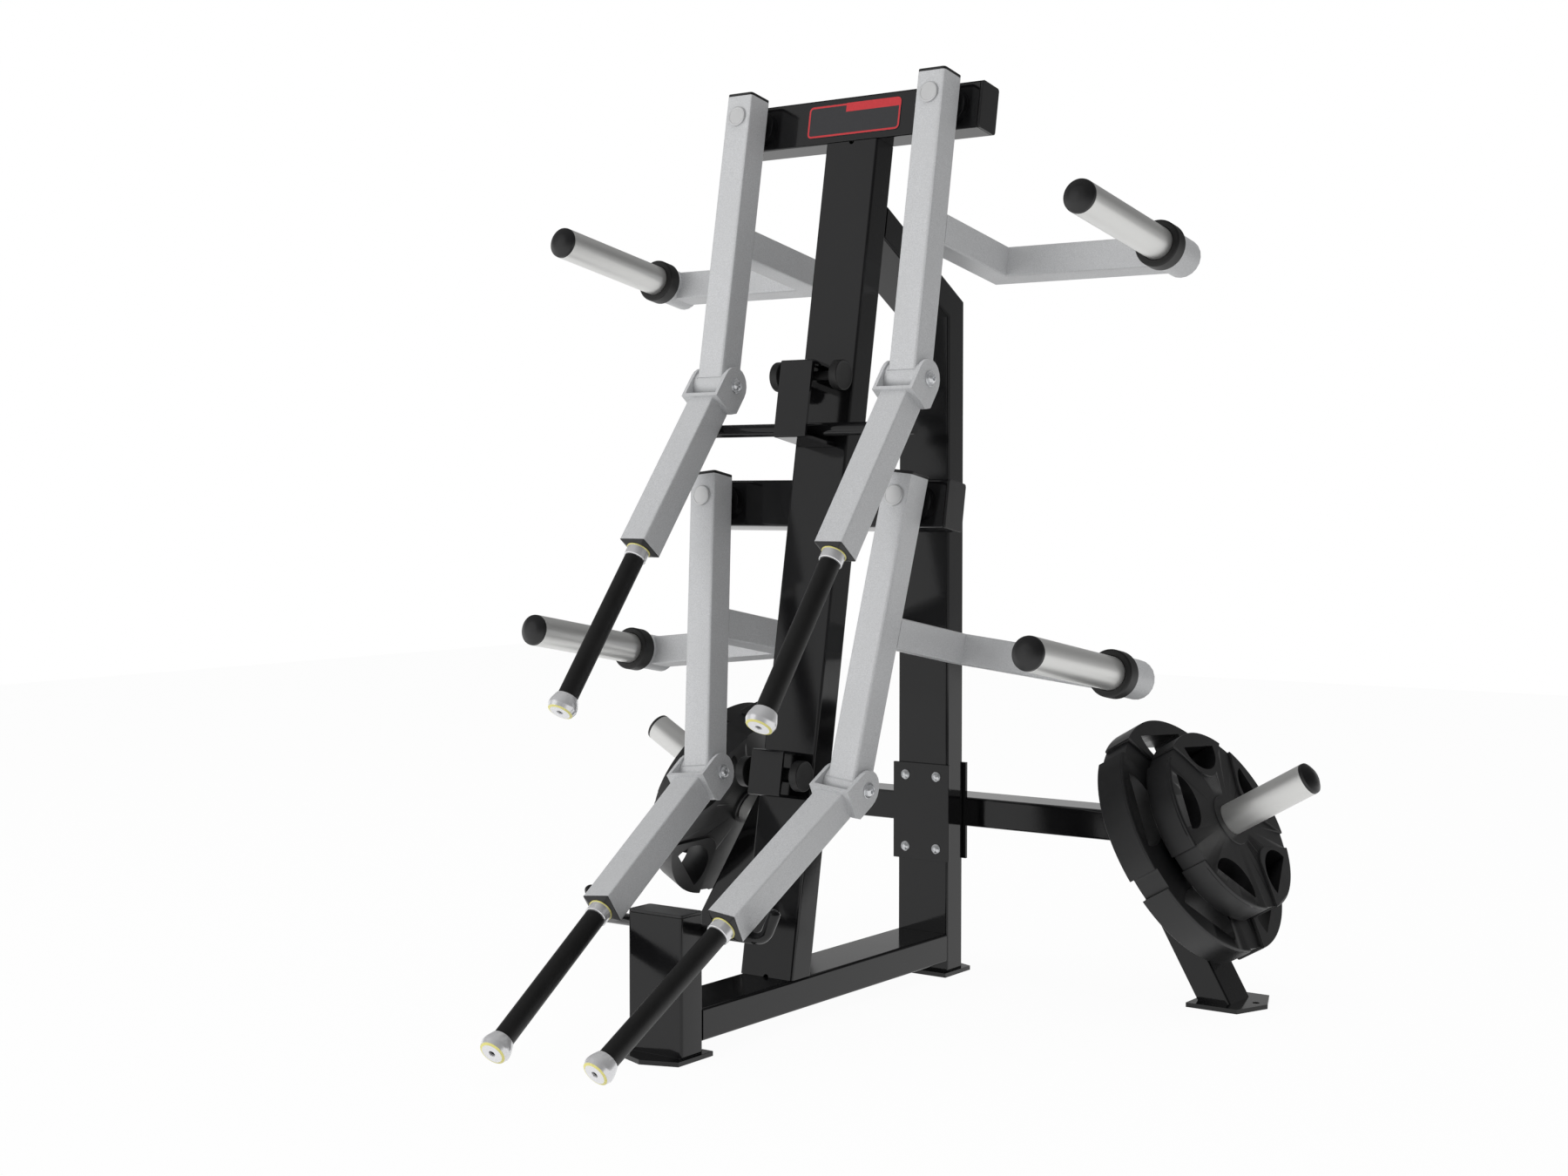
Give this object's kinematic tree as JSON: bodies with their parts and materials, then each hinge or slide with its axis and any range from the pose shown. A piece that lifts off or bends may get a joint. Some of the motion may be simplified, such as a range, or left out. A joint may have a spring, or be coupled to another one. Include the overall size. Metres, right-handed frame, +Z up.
{
  "type": "lateral raise and shoulder press machine",
  "caption": "Free-standing plate-loaded strength machine with swinging arms, folding grip handles, loading sleeves and spare plates on storage horns.",
  "frame": {"origin": "on the floor, at the middle of the machine's bounding box", "axes": "+Z up; -Y towards the handles, where the user stands; +X to the right of someone who faces the machine from -Y"},
  "size_m": [1.4812, 1.3981, 1.6253],
  "materials": {
    "black_paint": "gloss black powder coat",
    "silver_paint": "satin silver-grey fine texture coat",
    "bright_steel": "satin chrome plate",
    "aluminium": "fine turned aluminium",
    "black_rubber": "matt moulded rubber",
    "black_plastic": "fine grained plastic",
    "plate_rubber": "satin rubber over iron"
  },
  "bodies": {
    "frame": {"base_beam": "black_paint", "front_post": "black_paint", "front_post_cap": "black_plastic", "upright": "black_paint", "upper_crossbeam": "black_paint", "rear_post": "black_paint", "rear_stabiliser": "black_paint", "clamp_plate": "black_paint", "upper_left_beam_cap": "black_plastic", "upper_right_beam_cap": "black_plastic", "lower_left_beam_cap": "black_plastic", "lower_right_beam_cap": "black_plastic", "upper_stop_bumper": "black_rubber", "lower_stop_bumper": "black_rubber", "left_storage_horn": "bright_steel", "right_storage_horn": "bright_steel", "upper_left_pivot_pin": "bright_steel", "upper_right_pivot_pin": "bright_steel", "lower_left_pivot_pin": "bright_steel", "lower_right_pivot_pin": "bright_steel"},
    "upper_left_arm": {"upper_left_arm": "silver_paint", "upper_left_arm_cap": "black_plastic", "upper_left_load_sleeve": "bright_steel", "upper_left_sleeve_collar": "black_rubber", "upper_left_sleeve_cap": "black_plastic"},
    "upper_left_forearm": {"upper_left_forearm": "silver_paint", "upper_left_handle_bar": "aluminium", "upper_left_hand_grip": "black_rubber", "upper_left_elbow_bolt": "bright_steel"},
    "upper_right_arm": {"upper_right_arm": "silver_paint", "upper_right_arm_cap": "black_plastic", "upper_right_load_sleeve": "bright_steel", "upper_right_sleeve_collar": "black_rubber", "upper_right_sleeve_cap": "black_plastic"},
    "upper_right_forearm": {"upper_right_forearm": "silver_paint", "upper_right_handle_bar": "aluminium", "upper_right_hand_grip": "black_rubber", "upper_right_elbow_bolt": "bright_steel"},
    "lower_left_arm": {"lower_left_arm": "silver_paint", "lower_left_arm_cap": "black_plastic", "lower_left_load_sleeve": "bright_steel", "lower_left_sleeve_collar": "black_rubber", "lower_left_sleeve_cap": "black_plastic"},
    "lower_left_forearm": {"lower_left_forearm": "silver_paint", "lower_left_handle_bar": "aluminium", "lower_left_hand_grip": "black_rubber", "lower_left_elbow_bolt": "bright_steel"},
    "lower_right_arm": {"lower_right_arm": "silver_paint", "lower_right_arm_cap": "black_plastic", "lower_right_load_sleeve": "bright_steel", "lower_right_sleeve_collar": "black_rubber", "lower_right_sleeve_cap": "black_plastic"},
    "lower_right_forearm": {"lower_right_forearm": "silver_paint", "lower_right_handle_bar": "aluminium", "lower_right_hand_grip": "black_rubber", "lower_right_elbow_bolt": "bright_steel"},
    "left_big_plate": {"left_big_plate": "plate_rubber"},
    "left_small_plate": {"left_small_plate": "plate_rubber"},
    "right_big_plate": {"right_big_plate": "plate_rubber"},
    "right_small_plate": {"right_small_plate": "plate_rubber"}
  },
  "joints": [
    {"name": "upper_left_arm_swing", "type": "hinge", "parent": "frame", "child": "upper_left_arm", "pos_m": [-0.2033, 0.09319, 1.57721], "axis": [0, 0.9846, -0.175], "range_deg": [-8, 95]},
    {"name": "upper_left_elbow", "type": "hinge", "parent": "upper_left_arm", "child": "upper_left_forearm", "pos_m": [-0.2033, 0.00743, 1.09477], "axis": [-1, 0, 0], "range_deg": [0, 75]},
    {"name": "upper_right_arm_swing", "type": "hinge", "parent": "frame", "child": "upper_right_arm", "pos_m": [0.2033, 0.09319, 1.57721], "axis": [0, -0.9846, 0.175], "range_deg": [-8, 95]},
    {"name": "upper_right_elbow", "type": "hinge", "parent": "upper_right_arm", "child": "upper_right_forearm", "pos_m": [0.2033, 0.00743, 1.09477], "axis": [-1, 0, 0], "range_deg": [0, 75]},
    {"name": "lower_left_arm_swing", "type": "hinge", "parent": "frame", "child": "lower_left_arm", "pos_m": [-0.2033, -0.01261, 0.8952], "axis": [0, 0.9846, -0.175], "range_deg": [-2.5, 95]},
    {"name": "lower_left_elbow", "type": "hinge", "parent": "lower_left_arm", "child": "lower_left_forearm", "pos_m": [-0.15208, -0.09791, 0.4154], "axis": [-0.9945, -0.0183, -0.1029], "range_deg": [0, 40]},
    {"name": "lower_right_arm_swing", "type": "hinge", "parent": "frame", "child": "lower_right_arm", "pos_m": [0.2033, -0.01261, 0.8952], "axis": [0, -0.9846, 0.175], "range_deg": [-2.5, 95]},
    {"name": "lower_right_elbow", "type": "hinge", "parent": "lower_right_arm", "child": "lower_right_forearm", "pos_m": [0.15208, -0.09791, 0.4154], "axis": [-0.9945, 0.0183, 0.1029], "range_deg": [0, 40]},
    {"name": "left_big_plate_lift_off", "type": "slide", "parent": "frame", "child": "left_big_plate", "axis": [-0.866, 0, 0.5], "range_m": [0, 0.33]},
    {"name": "left_small_plate_lift_off", "type": "slide", "parent": "left_big_plate", "child": "left_small_plate", "axis": [-0.866, 0, 0.5], "range_m": [0, 0.33]},
    {"name": "right_big_plate_lift_off", "type": "slide", "parent": "frame", "child": "right_big_plate", "axis": [0.866, 0, 0.5], "range_m": [0, 0.33]},
    {"name": "right_small_plate_lift_off", "type": "slide", "parent": "right_big_plate", "child": "right_small_plate", "axis": [0.866, 0, 0.5], "range_m": [0, 0.33]}
  ]
}
